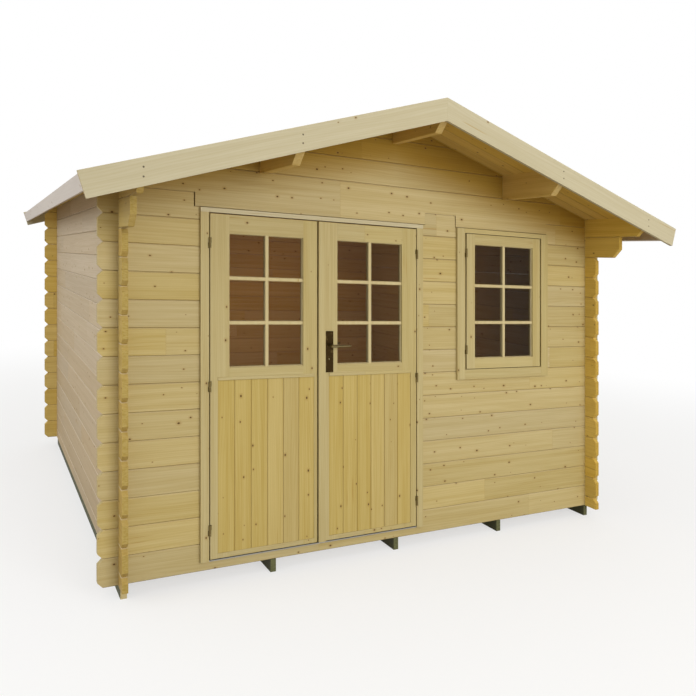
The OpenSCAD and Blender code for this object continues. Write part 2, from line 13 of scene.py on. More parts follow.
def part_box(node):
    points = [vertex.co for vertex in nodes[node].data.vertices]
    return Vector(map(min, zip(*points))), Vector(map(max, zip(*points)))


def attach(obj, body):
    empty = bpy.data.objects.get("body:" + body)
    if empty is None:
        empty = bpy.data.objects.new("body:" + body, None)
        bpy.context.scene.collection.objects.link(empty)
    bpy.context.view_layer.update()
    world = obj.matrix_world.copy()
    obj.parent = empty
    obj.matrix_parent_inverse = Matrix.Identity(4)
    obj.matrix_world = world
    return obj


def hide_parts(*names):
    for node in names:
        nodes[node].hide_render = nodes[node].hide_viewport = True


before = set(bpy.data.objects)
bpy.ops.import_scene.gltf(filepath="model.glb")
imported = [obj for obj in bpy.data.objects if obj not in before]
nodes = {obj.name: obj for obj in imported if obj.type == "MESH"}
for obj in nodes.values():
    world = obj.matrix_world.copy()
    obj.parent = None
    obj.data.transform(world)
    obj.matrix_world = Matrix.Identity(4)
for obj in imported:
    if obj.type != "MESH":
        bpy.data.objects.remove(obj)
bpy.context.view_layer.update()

# Sizes taken from the solids; the logs of a wall lie a fit apart, and side rows half a row lower
FIT = 0.0003
sill_low, sill_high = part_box("sill_log")
WALL_FOOT = sill_low.z - FIT / 2
ROW_H = sill_high.z - sill_low.z + FIT
FRONT_Y = sill_low.y
LEFT_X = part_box("left_wall")[0].x
SIDE_ROWS = WALL_FOOT - ROW_H / 2
# The lintel's wood is one board of two rows, so that no joint crosses the log
LINTEL_H = 2 * ROW_H
LINTEL_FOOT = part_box("lintel_log")[1].z + FIT / 2 - LINTEL_H
PANEL_BOARDS = 6

# Decimal places to which corners of a mesh have to agree to be one corner
CORNER_PLACES = 6
SOLID_PLACES = 5


def outline(node):
    """Corners in X and Z of a node that is one straight prism along Y, in order round it."""
    corners = {tuple(round(c, CORNER_PLACES) for c in v.co.xz) for v in nodes[node].data.vertices}
    middle = sum((Vector(c) for c in corners), Vector((0, 0))) / len(corners)
    return sorted(corners, key=lambda c: math.atan2(c[1] - middle.y, c[0] - middle.x))


def roof_pitch():
    """Angle of the roof, from the long edge of the right deck."""
    corners = outline("right_roof_deck")
    sides = zip(corners, corners[1:] + corners[:1])
    a, b = max(sides, key=lambda side: math.dist(*side))
    return math.atan(abs((b[1] - a[1]) / (b[0] - a[0])))


PITCH = roof_pitch()


# Materials


def feed(tree, socket, value):
    """Links another node's output to an input, or sets the input to a constant."""
    if isinstance(value, bpy.types.NodeSocket):
        tree.links.new(value, socket)
    else:
        socket.default_value = value


def linked(tree, kind, inputs, **settings):
    """A new node of a tree, with its settings made and its inputs fed."""
    made = tree.nodes.new("ShaderNode" + kind)
    for name, value in settings.items():
        setattr(made, name, value)
    for key, value in inputs.items():
        feed(tree, made.inputs[key], value)
    return made


class Graph:
    """A material's node tree, with short calls for the nodes that the finishes share."""

    def __init__(self, name):
        self.material = bpy.data.materials.new(name)
        self.material.use_nodes = True
        self.tree = self.material.node_tree

    def surface(self, inputs):
        """Feeds inputs of the material's shader."""
        shader = self.tree.nodes["Principled BSDF"]
        for key, value in inputs.items():
            feed(self.tree, shader.inputs[key], value)

    def bump(self, height, strength, distance):
        inputs = {"Height": height, "Strength": strength, "Distance": distance}
        self.surface({"Normal": self.node("Bump", inputs).outputs[0]})

    def node(self, kind, inputs, **settings):
        return linked(self.tree, kind, inputs, **settings)

    def place(self):
        return self.node("TexCoord", {}).outputs["Object"]

    def math(self, operation, *values):
        return self.node("Math", dict(enumerate(values)), operation=operation).outputs[0]

    def split(self, vector):
        return tuple(self.node("SeparateXYZ", {0: vector}).outputs)

    def join(self, x, y, z):
        return self.node("CombineXYZ", {0: x, 1: y, 2: z}).outputs[0]

    def step(self, value, low, high):
        """0 at low, 1 at high and smooth between; low may be the larger one."""
        inputs = {"Value": value, "From Min": low, "From Max": high}
        return self.node("MapRange", inputs, interpolation_type="SMOOTHSTEP").outputs[0]

    def span(self, value, low, high):
        """Stretches a value from 0 to 1 to the range from low to high."""
        return self.math("MULTIPLY_ADD", value, high - low, low)

    def noise(self, vector, detail, roughness=0.5, scale=1.0):
        inputs = {"Vector": vector, "Scale": scale, "Detail": detail, "Roughness": roughness}
        return self.node("TexNoise", inputs).outputs["Fac"]

    def chance(self, a, b):
        """Three random numbers that belong to the pair of numbers a and b."""
        made = self.node("TexWhiteNoise", {"Vector": self.join(a, b, 0.0)}, noise_dimensions="2D")
        return self.split(made.outputs["Color"])

    def blend(self, factor, a, b, **settings):
        """Colour a where the factor is 0 and b where it is 1."""
        return self.node("Mix", {0: factor, 6: a, 7: b}, data_type="RGBA", **settings).outputs[2]

    def cover(self, tone, paint, factor, share):
        """A tone with a paint over it, which has the given share where the factor is 1."""
        return self.blend(self.math("MULTIPLY", factor, share), tone, paint)


def colour(red, green, blue):
    return (red, green, blue, 1.0)


# Tones of the woods, and how they are cut and grown

# A place for a knot is knot_gap wide, knot_share of them have one, and knot_r is a knot's usual radius.
# A look's piece is the usual length between two finger joints; joint_shade and the share after it are the
# shares of the painted shade at the joints between boards and of the painted highlight under them; spread is
# how far lengths differ in tone.
# A board with long pieces shows hardly any finger joint.
LONG_PIECES = 30.0
LOG = {
    "light": colour(0.550, 0.455, 0.230),
    "dark": colour(0.445, 0.340, 0.130),
    "end_light": colour(0.45, 0.36, 0.19),
    "end_dark": colour(0.36, 0.25, 0.09),
    "piece": 1.5,
    "knot_gap": 0.095,
    "knot_share": 0.40,
    "knot_r": 0.0040,
    "both_edges": False,
    "joint_shade": 0.42,
    "edge_highlight": 0.15,
    "spread": 0.85,
}
# The left wall's copy of the log wood is cooler: painted sky light. Its joints carry a stronger painted
# highlight
SKY_LIT_SIDE_LOG = {
    **LOG,
    "light": colour(0.535, 0.430, 0.300),
    "dark": colour(0.425, 0.315, 0.185),
    "end_light": colour(0.45, 0.34, 0.11),
    "end_dark": colour(0.36, 0.255, 0.055),
    "joint_shade": 0.5,
    "edge_highlight": 0.5,
}
# The right wall's log ends are a deeper gold: painted shade of warm bounced light in the corner
RIGHT_LOG_SHADED_ENDS = {**LOG, "end_light": colour(0.48, 0.31, 0.05), "end_dark": colour(0.38, 0.23, 0.03)}
# The rear walls' wood is a paler, brighter copy of the log wood: painted light
LIT_REAR_LOG = {**LOG, "light": colour(0.640, 0.470, 0.200), "dark": colour(0.520, 0.350, 0.110)}
JOINERY = {
    **LOG,
    "light": colour(0.525, 0.445, 0.225),
    "dark": colour(0.435, 0.340, 0.137),
    "piece": LONG_PIECES,
    "knot_share": 0.30,
    "knot_r": 0.0038,
    "spread": 0.5,
}
PANEL = {
    **LOG,
    "light": colour(0.535, 0.425, 0.170),
    "dark": colour(0.435, 0.315, 0.090),
    "piece": LONG_PIECES,
    "knot_share": 0.36,
    "knot_r": 0.004,
    "both_edges": True,
    "joint_shade": 0.15,
    "edge_highlight": 0.0,
    "spread": 0.5,
}
TRIM = {
    **LOG,
    "light": colour(0.565, 0.515, 0.360),
    "dark": colour(0.490, 0.432, 0.275),
    "piece": LONG_PIECES,
    "knot_gap": 0.16,
    "knot_share": 0.26,
    "knot_r": 0.0035,
}
EAVE = {**TRIM, "light": colour(0.600, 0.535, 0.480), "dark": colour(0.540, 0.465, 0.405)}
BAR = {**TRIM, "light": colour(0.63, 0.550, 0.335), "dark": colour(0.54, 0.450, 0.245), "knot_share": 0.0}
# The roof's wood is a gold copy of the log wood: painted shade of warm light bounced under the canopy; it
# also goes on the purlins and the floor boards
SHADED_ROOF = {
    **LOG,
    "light": colour(0.640, 0.445, 0.125),
    "dark": colour(0.510, 0.325, 0.060),
    "piece": LONG_PIECES,
    "both_edges": True,
    "edge_highlight": 0.0,
}
# The deck's top faces take a paler copy without the painted shade
DECK_TOP = {**SHADED_ROOF, "light": colour(0.555, 0.450, 0.230), "dark": colour(0.450, 0.335, 0.130)}
BEARER = {
    **LOG,
    "light": colour(0.075, 0.078, 0.030),
    "dark": colour(0.040, 0.038, 0.016),
    "end_light": colour(0.150, 0.155, 0.072),
    "end_dark": colour(0.100, 0.100, 0.044),
    "piece": LONG_PIECES,
    "knot_share": 0.1,
}
KNOT = colour(0.085, 0.038, 0.010)
KNOT_RING = colour(0.36, 0.215, 0.055)
RESIN = colour(0.37, 0.215, 0.04)
# Painted shade at the joints between boards, and a painted highlight on the top edge of the board under each
# joint
GROOVE_SHADE = colour(0.17, 0.098, 0.018)
GROOVE_HIGHLIGHT = colour(0.72, 0.62, 0.46)

# Painted shade under the canopy: the wood turns gold between two heights at the middle of the front.
# Away from there both heights follow the roof's slope in part, and lie a little lower to the right
CANOPY_SHADE_FOOT = 2.04
CANOPY_SHADE_TOP = 2.30
CANOPY_SHADE_SLOPE = 0.70
CANOPY_SHADE_LEAN = 0.03
CANOPY_PAINTED_SHADE = colour(0.72, 0.55, 0.18)

# Painted light and shade on the log ends beyond a wall's face: gold shade on the side walls' ends before the
# front, paler light on the rear ends left of the left wall, and how far each way they fade there
END_FADE = 0.01
LEFT_END_PAINTED_SHADE = colour(0.95, 0.86, 0.42)
RIGHT_END_PAINTED_SHADE = colour(1.30, 1.12, 0.52)
REAR_END_PAINTED_LIGHT = colour(1.20, 1.22, 0.92)

# Painted shade: the left wall darkens from one height down to another
LEFT_TOP = 1.9
LEFT_FOOT = 0.3
LEFT_FOOT_PAINTED_SHADE = colour(0.90, 0.86, 0.78)

# Boards and their joints; a line is none at its first distance from a joint and full at its second
ONE_BOARD = 100.0
BOARD_DRAW = 3.0
PIECE_SHORT = 0.6
PIECE_LONG = 1.5
JOINT_SHIFT = 9.0
FINGER_PITCH = 0.004
FINGER_DEPTH = 0.006
FINGER_LINE = (0.0026, 0.0008)
FINGER_SHARE = 0.45
GROOVE_LINE = (0.0048, 0.0030)
LIT_LINE = (0.0050, 0.0034)

# Grain: how far apart lengths of wood and the two roof slopes lie in it, scales per metre, and shares
GROWN_APART = (30.0, 7.0, 5.0)
SLOPE_APART = 40.0
STREAK = {"along": 1.3, "across": 42.0, "detail": 4.0, "roughness": 0.62}
STREAK_FADE = (0.34, 0.68)
STREAK_SHARE = 0.55
WAVE = {"along": 0.7, "across": 7.0, "detail": 2.0}
WAVE_SIZE = 9.0
RINGS_PER_M = 85.0
RING_BEND = 1.6
RING_FADE = (-0.2, 1.0)
RING_SHARE = 0.22
FIBRE = {"along": 9.0, "across": 520.0, "detail": 2.0}
FIBRE_SHARE = 0.23
RESIN_STREAK = {"along": 2.2, "across": 60.0, "detail": 1.0}
RESIN_FADE = (0.735, 0.80)
RESIN_SHARE = 0.55
END_GRAIN_ACROSS = 160.0
END_GRAIN_THROUGH = 60.0
END_GRAIN_DETAIL = 2.0
END_GRAIN_FADE = (0.35, 0.7)
END_FACING = (0.55, 0.85)
END_SHARE = 0.8

# Knots: their sizes as shares of a look's knot_r, and where core and ring fade, in radii
KNOT_STRETCH = (0.7, 1.0, 0.0)
KNOT_SMALL = 0.35
KNOT_LARGE = 1.3
KNOT_MIN_R = 0.00002
CORE_FADE = (1.1, 0.7)
CORE_SHARE = 0.92
HALO_FADE = (3.0, 0.9)
HALO_SHARE = 0.42

# Spread of tone between lengths of wood, gloss and relief
SATURATION_SPREAD = 0.1
VALUE_SPREAD = 0.07
PALE_ROUGHNESS = 0.72
DARK_ROUGHNESS = 0.56
WOOD_SPECULAR = 0.3
FIBRE_RELIEF = 0.5
RING_RELIEF = 0.3
CORE_RELIEF = -0.4
WOOD_BUMP = (0.25, 0.0008)


def grain_axes(g, along, across):
    """Place along the grain, across it and through the wood, and the normal's share along the grain.

    Axis s runs down the roof's slope and n square to it; both slopes read them alike.
    """
    places = g.node("TexCoord", {})
    x, y, z = g.split(places.outputs["Object"])
    nx, ny, nz = g.split(places.outputs["Normal"])
    lines = {"x": x, "y": y, "z": z}
    normals = {"x": nx, "y": ny, "z": nz}
    if along == "s":
        side = g.math("SIGN", x)
        reach = g.math("ABSOLUTE", x)
        drop = g.math("MULTIPLY", z, math.sin(PITCH))
        rise = g.math("MULTIPLY", z, math.cos(PITCH))
        down = g.math("SUBTRACT", g.math("MULTIPLY", reach, math.cos(PITCH)), drop)
        up = g.math("ADD", g.math("MULTIPLY", reach, math.sin(PITCH)), rise)
        apart = g.math("MULTIPLY", side, SLOPE_APART)
        lines = {"s": g.math("ADD", down, apart), "n": up, "y": y}
        tilt = g.math("MULTIPLY", g.math("MULTIPLY", nx, side), math.cos(PITCH))
        normals = {"s": g.math("SUBTRACT", tilt, g.math("MULTIPLY", nz, math.sin(PITCH)))}
    (through,) = set(lines) - {along, across}
    return lines[along], lines[across], lines[through], g.math("ABSOLUTE", normals[along])


def lengths(g, look, board, seed, u, v):
    """Three random numbers for each length of wood between two finger joints, and the way from a joint."""
    index = g.math("ADD", g.math("FLOOR", board), seed)
    r0, r1, _ = g.chance(index, BOARD_DRAW)
    length = g.span(r0, PIECE_SHORT * look["piece"], PIECE_LONG * look["piece"])
    fingers = g.math("MULTIPLY", g.math("PINGPONG", v, FINGER_PITCH), FINGER_DEPTH / FINGER_PITCH)
    run = g.math("ADD", g.math("MULTIPLY_ADD", r1, JOINT_SHIFT, u), fingers)
    count = g.math("DIVIDE", run, length)
    own = g.chance(index, g.math("FLOOR", count))
    return own, g.math("MULTIPLY", g.math("FRACT", count), length)


def knots(g, look, grown):
    """Shares from 0 to 1 of a knot's core and of the ring round it; knots are longer along the grain."""
    place = g.join(grown[0], grown[1], 0.0)
    cells = g.node("TexVoronoi", {"Vector": place, "Scale": 1 / look["knot_gap"]}, voronoi_dimensions="2D")
    size, draw, _ = g.split(cells.outputs["Color"])
    away = g.node("VectorMath", {0: place, 1: cells.outputs["Position"]}, operation="SUBTRACT")
    squeezed = g.node("VectorMath", {0: away.outputs[0], 1: KNOT_STRETCH}, operation="MULTIPLY")
    distance = g.node("VectorMath", {0: squeezed.outputs[0]}, operation="LENGTH").outputs["Value"]
    present = g.math("LESS_THAN", draw, look["knot_share"])
    wish = g.span(size, KNOT_SMALL * look["knot_r"], KNOT_LARGE * look["knot_r"])
    radius = g.math("MAXIMUM", g.math("MULTIPLY", wish, present), KNOT_MIN_R)
    ratio = g.math("DIVIDE", distance, radius)
    return g.step(ratio, *CORE_FADE), g.step(ratio, *HALO_FADE)


def stretched(g, grown, along, across, detail, roughness=0.5):
    """Noise that is drawn out along the grain."""
    scales = (along, across, across)
    scaled = [g.math("MULTIPLY", place, scale) for place, scale in zip(grown, scales)]
    return g.noise(g.join(*scaled), detail, roughness)


def growth(g, grown, halo):
    """How dark the wood is, from 0 to 1, its year rings, which bend round knots, and its fibres."""
    streak = g.step(stretched(g, grown, **STREAK), *STREAK_FADE)
    waves = g.math("MULTIPLY", stretched(g, grown, **WAVE), WAVE_SIZE)
    straight = g.math("MULTIPLY_ADD", grown[1], RINGS_PER_M, waves)
    field = g.math("ADD", straight, g.math("MULTIPLY", halo, RING_BEND))
    rings = g.step(g.math("SINE", g.math("MULTIPLY", field, 2 * math.pi)), *RING_FADE)
    fibre = stretched(g, grown, **FIBRE)
    shade = g.math("MULTIPLY_ADD", streak, STREAK_SHARE, g.math("MULTIPLY", rings, RING_SHARE))
    return g.math("MULTIPLY_ADD", fibre, FIBRE_SHARE, shade), rings, fibre


def varied(g, look, tone, own):
    """A tone of its own for each length of wood."""
    vivid = SATURATION_SPREAD * look["spread"]
    bright = VALUE_SPREAD * look["spread"]
    inputs = {
        "Saturation": g.span(own[2], 1 - vivid, 1 + vivid),
        "Value": g.span(own[1], 1 - bright, 1 + bright),
        "Color": tone,
    }
    return g.node("HueSaturation", inputs).outputs[0]


def shifted(g, tone, shift, u, v):
    """A tone that takes on a tint between two places on a line; every tint that the script gives here is
    painted shade, except the paler rear log ends, which are painted light.

    The line is "along" the grain, "across" it, or "up" for heights under the roof's slope on logs along X.
    """
    line, first, last, tint = shift
    place = u if line == "along" else v
    if line == "up":
        # Heights under the roof's slope, for the painted canopy shade
        place = g.math("MULTIPLY_ADD", g.math("ABSOLUTE", u), CANOPY_SHADE_SLOPE * math.tan(PITCH), place)
        place = g.math("MULTIPLY_ADD", u, CANOPY_SHADE_LEAN, place)
    return g.blend(g.step(place, first, last), tone, tint, blend_type="MULTIPLY")


def edged(g, look, tone, board, row):
    """A tone with painted shade at the joints between boards, and a painted highlight under them if the look
    has any.
    """
    apart = g.math("PINGPONG", board, 0.5) if look["both_edges"] else g.math("FRACT", board)
    from_edge = g.math("MULTIPLY", apart, row)
    tone = g.cover(tone, GROOVE_SHADE, g.step(from_edge, *GROOVE_LINE), look["joint_shade"])
    if look["edge_highlight"]:
        first, last = (row - reach for reach in LIT_LINE)
        tone = g.cover(tone, GROOVE_HIGHLIGHT, g.step(from_edge, first, last), look["edge_highlight"])
    return tone


def ended(g, look, tone, grown, facing_end):
    """A tone with end grain where a face lies across the wood."""
    across = g.math("MULTIPLY", grown[1], END_GRAIN_ACROSS)
    through = g.math("MULTIPLY", grown[2], END_GRAIN_THROUGH)
    rings = g.noise(g.join(across, through, grown[0]), END_GRAIN_DETAIL)
    end_tone = g.blend(g.step(rings, *END_GRAIN_FADE), look["end_light"], look["end_dark"])
    return g.cover(tone, end_tone, g.step(facing_end, *END_FACING), END_SHARE)


def wood(name, look, along, across, row=ONE_BOARD, start=-ONE_BOARD / 2, seed=0.0, shifts=()):
    """Planed spruce: rows of boards with their own tone, finger joints, streaks, rings, knots and resin."""
    g = Graph(name)
    u, v, w, facing_end = grain_axes(g, along, across)
    board = g.math("DIVIDE", g.math("SUBTRACT", v, start), row)
    own, from_joint = lengths(g, look, board, seed, u, v)
    far = zip(own, GROWN_APART, (u, v, w))
    grown = [g.math("MULTIPLY_ADD", draw, apart, place) for draw, apart, place in far]
    core, halo = knots(g, look, grown)
    shade, rings, fibre = growth(g, grown, halo)
    resin = g.step(stretched(g, grown, **RESIN_STREAK), *RESIN_FADE)

    tone = varied(g, look, g.blend(shade, look["light"], look["dark"]), own)
    for shift in shifts:
        tone = shifted(g, tone, shift, u, v)
    tone = g.cover(tone, RESIN, resin, RESIN_SHARE)
    tone = g.cover(tone, KNOT_RING, halo, HALO_SHARE)
    tone = g.cover(tone, KNOT, core, CORE_SHARE)
    tone = g.cover(tone, KNOT_RING, g.step(from_joint, *FINGER_LINE), FINGER_SHARE)
    tone = edged(g, look, tone, board, row)
    tone = ended(g, look, tone, grown, facing_end)

    roughness = g.span(shade, PALE_ROUGHNESS, DARK_ROUGHNESS)
    g.surface({"Base Color": tone, "Roughness": roughness, "Specular IOR Level": WOOD_SPECULAR})
    relief = g.math("MULTIPLY_ADD", fibre, FIBRE_RELIEF, g.math("MULTIPLY", core, CORE_RELIEF))
    g.bump(g.math("MULTIPLY_ADD", rings, RING_RELIEF, relief), *WOOD_BUMP)
    return g.material


PATCH_SCALE = 45.0
PATCH_DETAIL = 4.0
PATCH_FADE = 0.2
SCRATCH_SCALE = 900.0
SCRATCH_DETAIL = 2.0
METAL_BUMP = (0.15, 0.0003)
SMOOTHER = 0.1
ROUGHER = 0.15


def metal(name, tone, worn, roughness, worn_from=0.55):
    """Plated or cast metal with uneven wear and fine scratches."""
    g = Graph(name)
    place = g.place()
    broad = g.noise(place, PATCH_DETAIL, scale=PATCH_SCALE)
    patches = g.step(broad, worn_from, worn_from + PATCH_FADE)
    gloss = g.span(broad, roughness - SMOOTHER, roughness + ROUGHER)
    g.surface({"Base Color": g.blend(patches, tone, worn), "Roughness": gloss, "Metallic": 1.0})
    g.bump(g.noise(place, SCRATCH_DETAIL, scale=SCRATCH_SCALE), *METAL_BUMP)
    return g.material


GLASS_TONE = colour(0.02, 0.022, 0.02)
GLASS_ROUGHNESS = 0.03
GLASS_IOR = 1.5
GLASS_ALPHA = 0.12
RIPPLE_SCALE = 5.0
RIPPLE_DETAIL = 1.0
RIPPLE_BUMP = (0.02, 0.01)


def clear_glass():
    """Window glass: a dark sheet that mirrors a little and lets most light through."""
    g = Graph("glass")
    g.surface({"Base Color": GLASS_TONE, "Roughness": GLASS_ROUGHNESS})
    g.surface({"IOR": GLASS_IOR, "Alpha": GLASS_ALPHA})
    g.bump(g.noise(g.place(), RIPPLE_DETAIL, scale=RIPPLE_SCALE), *RIPPLE_BUMP)
    return g.material


def panel_wood(node):
    """Wood of a leaf's panel, in upright boards of one width."""
    low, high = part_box(node)
    width = (high.x - low.x) / PANEL_BOARDS
    return wood(node + "_wood", PANEL, "z", "x", width, low.x)


# Finishing the solids


def dress(material, *names):
    """Gives whole nodes one material."""
    for name in names:
        nodes[name].data.materials.clear()
        nodes[name].data.materials.append(material)


def islands(mesh):
    """The faces of a mesh in groups, one group for each solid in it."""
    owner = {}

    def root(key):
        while owner[key] != key:
            key = owner[key]
        return key

    def key_of(index):
        return tuple(round(c, SOLID_PLACES) for c in mesh.vertices[index].co)

    for face in mesh.polygons:
        keys = [key_of(i) for i in face.vertices]
        for key in keys:
            owner.setdefault(key, key)
        for key in keys[1:]:
            owner[root(key)] = root(keys[0])
    groups = {}
    for face in mesh.polygons:
        groups.setdefault(root(key_of(face.vertices[0])), []).append(face)
    return list(groups.values())


def dress_by_length(name, choices):
    """Gives each solid of a node a wood whose grain runs along the solid's longest side."""
    mesh = nodes[name].data
    mesh.materials.clear()
    first = {}
    for axis, materials in choices.items():
        first[axis] = len(mesh.materials)
        for material in materials:
            mesh.materials.append(material)
    for number, faces in enumerate(islands(mesh)):
        points = [mesh.vertices[i].co for face in faces for i in face.vertices]
        sides = {axis: [getattr(point, axis) for point in points] for axis in choices}
        axis = max(sides, key=lambda key: max(sides[key]) - min(sides[key]))
        for face in faces:
            face.material_index = first[axis] + number % len(choices[axis])


# A face looks to the front where its normal's Y is below this
FACES_FRONT = -0.9


def dress_bearers():
    """Dark bearers; the leftmost one has a fresh cut at its front end."""
    mesh = nodes["bearers"].data
    mesh.materials.clear()
    mesh.materials.append(bearer)
    mesh.materials.append(bearer_cut)
    leftmost = min(islands(mesh), key=lambda faces: min(face.center.x for face in faces))
    for face in leftmost:
        if face.normal.y < FACES_FRONT:
            face.material_index = 1


def end_shift(place, tint):
    """A tint for the ends of logs that pass a place along their grain, towards lower numbers: painted shade
    on the side walls' ends, painted light on the rear wall's.
    """
    return ("along", place + END_FADE, place - END_FADE, tint)


# Painted gold shade under the canopy, on the front walls and the lintel
canopy = [("up", CANOPY_SHADE_FOOT, CANOPY_SHADE_TOP, CANOPY_PAINTED_SHADE)]
# Painted shade on the left wall: darker towards its foot, and gold on its log ends before the front
left_painted_shade = [("across", LEFT_TOP, LEFT_FOOT, LEFT_FOOT_PAINTED_SHADE), end_shift(FRONT_Y, LEFT_END_PAINTED_SHADE)]
# Painted shade on the right wall's log ends before the front, and painted light on the rear log ends left of
# the left wall
right_end_shade = [end_shift(FRONT_Y, RIGHT_END_PAINTED_SHADE)]
rear_end_light = [end_shift(LEFT_X, REAR_END_PAINTED_LIGHT)]
log_x = wood("log_wood_x", LOG, "x", "z", ROW_H, WALL_FOOT, shifts=canopy)
log_lintel = wood("log_wood_lintel", LOG, "x", "z", LINTEL_H, LINTEL_FOOT, seed=23.0, shifts=canopy)
log_rear = wood("log_wood_rear", LIT_REAR_LOG, "x", "z", ROW_H, WALL_FOOT, seed=30.0, shifts=rear_end_light)
log_left = wood("log_wood_left", SKY_LIT_SIDE_LOG, "y", "z", ROW_H, SIDE_ROWS, seed=40.0, shifts=left_painted_shade)
log_right = wood("log_wood_right", RIGHT_LOG_SHADED_ENDS, "y", "z", ROW_H, SIDE_ROWS, seed=50.0, shifts=right_end_shade)
LEVEL_WOODS = 2
UPRIGHT_WOODS = 3
joinery = {
    "x": [wood(f"joinery_wood_x{k}", JOINERY, "x", "z", seed=60.0 + k) for k in range(LEVEL_WOODS)],
    "z": [wood(f"joinery_wood_z{k}", JOINERY, "z", "x", seed=70.0 + k) for k in range(UPRIGHT_WOODS)],
}
bar_wood = wood("bar_wood", BAR, "z", "x", seed=78.0)
trim_s = wood("trim_wood_slope", TRIM, "s", "n", seed=80.0)
trim_x = wood("trim_wood_x", TRIM, "x", "z", seed=83.0)
trim_y = wood("trim_wood_y", EAVE, "y", "z", seed=81.0)
shaded_roof_y = wood("roof_wood_y", SHADED_ROOF, "y", "z", seed=90.0)
bearer = wood("bearer_wood", BEARER, "y", "z", seed=95.0)
bearer_cut = wood("bearer_cut_wood", LOG, "z", "x", seed=97.0)
glass = clear_glass()
brass = metal(
    "hinge_brass", colour(0.20, 0.15, 0.06), colour(0.42, 0.34, 0.15), roughness=0.36, worn_from=0.56
)
bronze = metal("handle_bronze", colour(0.050, 0.030, 0.010), colour(0.13, 0.085, 0.03), roughness=0.42)
# The lever's bronze is paler than the plate's: worn by hands, and a painted highlight
worn_and_sheen_bronze = metal("worn_and_sheen_bronze", colour(0.20, 0.155, 0.070), colour(0.34, 0.27, 0.13), roughness=0.34)
# The threshold's metal is dark for aluminium: painted shade
shaded_aluminium = metal("threshold_metal", colour(0.40, 0.39, 0.36), colour(0.30, 0.29, 0.27), roughness=0.45)
steel = metal("screw_steel", colour(0.16, 0.13, 0.09), colour(0.08, 0.06, 0.04), roughness=0.5)

dress(log_x, "sill_log", "front_wall_left", "front_wall_lower_right", "front_wall_middle")
dress(log_x, "front_wall_right", "front_gable")
dress(log_lintel, "lintel_log")
dress(log_rear, "rear_wall", "rear_gable")
dress(log_left, "left_wall")
dress(log_right, "right_wall")
dress_bearers()
dress(shaded_roof_y, "ridge_purlin", "left_purlin", "right_purlin")
dress(trim_s, "front_left_bargeboard", "front_right_bargeboard")
dress(trim_s, "rear_left_bargeboard", "rear_right_bargeboard")
dress(trim_y, "left_fascia", "right_fascia")
dress(trim_x, "door_head")
dress(glass, "left_leaf_glass", "right_leaf_glass", "window_glass")
dress(brass, "door_hinge_pins", "left_leaf_hinges", "right_leaf_hinges", "window_hinges")
dress(bronze, "handle_plates")
dress(worn_and_sheen_bronze, "handle_lever")
dress(shaded_aluminium, "threshold")
for panel in ("left_leaf_panel", "right_leaf_panel"):
    dress(panel_wood(panel), panel)
for framed in ("left_leaf_frame", "right_leaf_frame", "window_sash", "window_frame"):
    dress_by_length(framed, joinery)
for framed in ("left_door_jamb", "right_door_jamb", "astragal"):
    dress_by_length(framed, joinery)


# Pieces added to the solids


def placed(name, data):
    """A new object in the scene."""
    made = bpy.data.objects.new(name, data)
    bpy.context.scene.collection.objects.link(made)
    return made


def meshed(name, bm, material):
    """A new object with a built mesh and one material."""
    mesh = bpy.data.meshes.new(name)
    bm.to_mesh(mesh)
    bm.free()
    mesh.materials.append(material)
    return placed(name, mesh)


def piece(name, bm, material, body):
    """Makes a mesh into a piece that moves with a body."""
    bmesh.ops.recalc_face_normals(bm, faces=bm.faces)
    made = meshed(name, bm, material)
    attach(made, body)
    return made


def loft(bm, sections):
    """A closed solid through sections with as many points each."""
    rings = [[bm.verts.new(point) for point in section] for section in sections]
    for a, b in zip(rings, rings[1:]):
        for i in range(len(a)):
            j = (i + 1) % len(a)
            bm.faces.new((a[i], a[j], b[j], b[i]))
    bm.faces.new(rings[0][::-1])
    bm.faces.new(rings[-1])


BOARD_GAP = 0.0005
DECK_BOARD_W = 0.093
DECK_V = 0.0035
FLOOR_BOARD_W = 0.091
FLOOR_V = 0.001
# A board's face is its top where the normal's Z is above this
FACES_UP = 0.5


def board_rows(low, high, wish):
    """The width of boards that fill a box in Y, near the wished width, and the two edges of each board."""
    count = round((high.y - low.y) / wish)
    width = (high.y - low.y) / count
    starts = [low.y + k * width + BOARD_GAP / 2 for k in range(count)]
    return width, [(start, start + width - BOARD_GAP) for start in starts]


def deck_boards(node):
    """Boards from ridge to eave, with V joints on their undersides."""
    corners = outline(node)
    low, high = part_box(node)
    width, rows = board_rows(low, high, DECK_BOARD_W)
    lower = sorted(corners, key=lambda c: c[1] * math.cos(PITCH) + abs(c[0]) * math.sin(PITCH))[:2]
    lift = DECK_V / math.cos(PITCH)
    bevelled = [(x, z + lift) if (x, z) in lower else (x, z) for x, z in corners]
    bm = bmesh.new()
    for y0, y1 in rows:
        stations = [(y0, bevelled), (y0 + DECK_V, corners), (y1 - DECK_V, corners), (y1, bevelled)]
        loft(bm, [[(x, y, z) for x, z in section] for y, section in stations])
    # Shaded and lit copies of one wood: undersides and edges take the roof wood with its painted shade, top
    # faces the paler copy
    material = wood(node + "_wood", SHADED_ROOF, "s", "y", width, low.y)
    made = piece(node + "_boards", bm, material, "shed")
    made.data.materials.append(wood(node + "_top_wood", DECK_TOP, "s", "y", width, low.y))
    for face in made.data.polygons:
        face.material_index = 1 if face.normal.z > FACES_UP else 0
    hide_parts(node)


